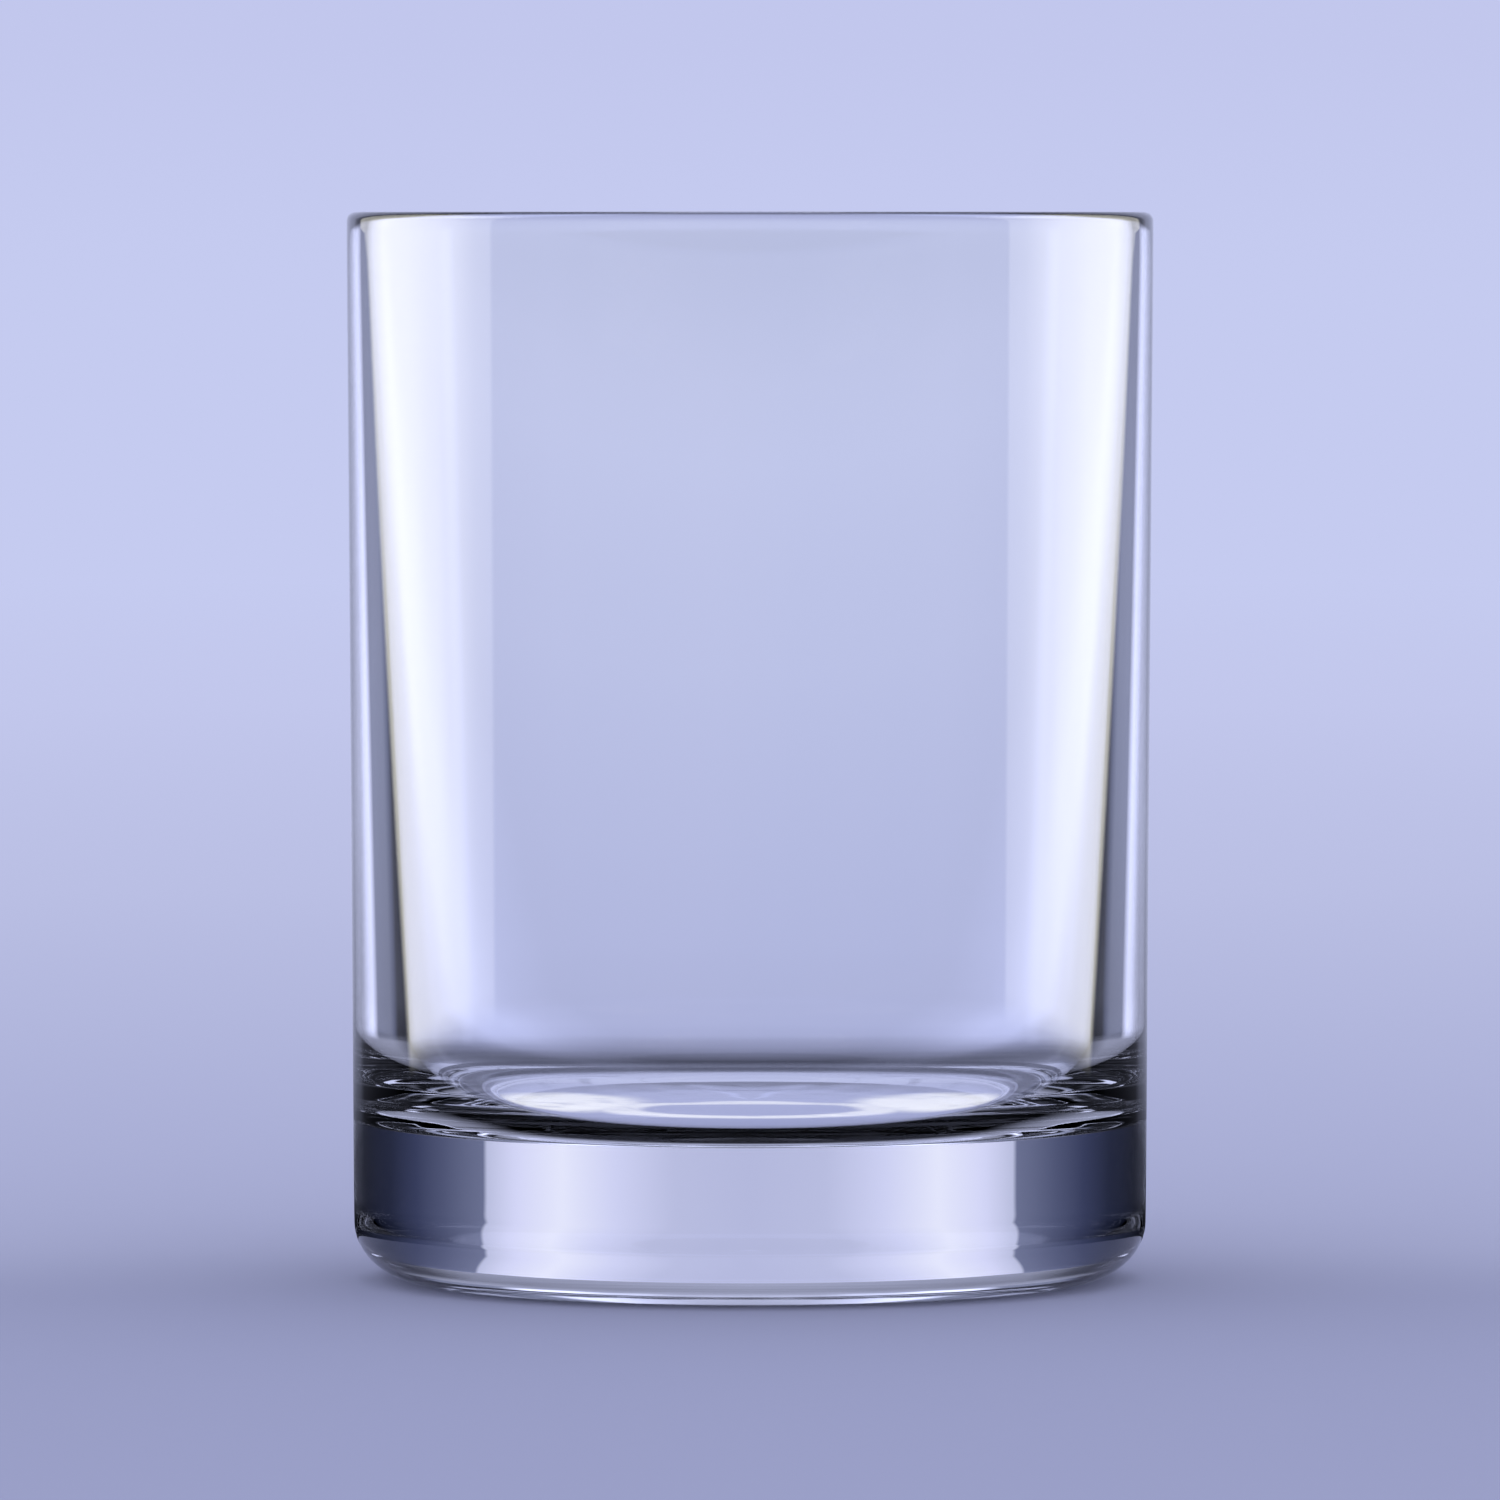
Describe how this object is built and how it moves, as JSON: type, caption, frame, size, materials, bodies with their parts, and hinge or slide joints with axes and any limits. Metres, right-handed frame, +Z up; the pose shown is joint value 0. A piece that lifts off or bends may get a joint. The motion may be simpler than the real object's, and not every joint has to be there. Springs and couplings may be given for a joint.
{
  "type": "whiskey tumbler",
  "caption": "Straight-sided clear glass tumbler with a slightly tapered cup, rounded drinking edge, heavy solid base and rounded heel on a flat foot ring.",
  "frame": {"origin": "centre of the foot, on the surface that the glass stands on", "axes": "+Z up along the glass's axis, through the middle of the rim; +X and +Y are alike, because the glass is round"},
  "size_m": [0.08, 0.08, 0.106],
  "materials": {
    "clear_glass": "clear, fire polished, no tint"
  },
  "bodies": {
    "root": {"glass_body": "clear_glass"}
  },
  "joints": []
}
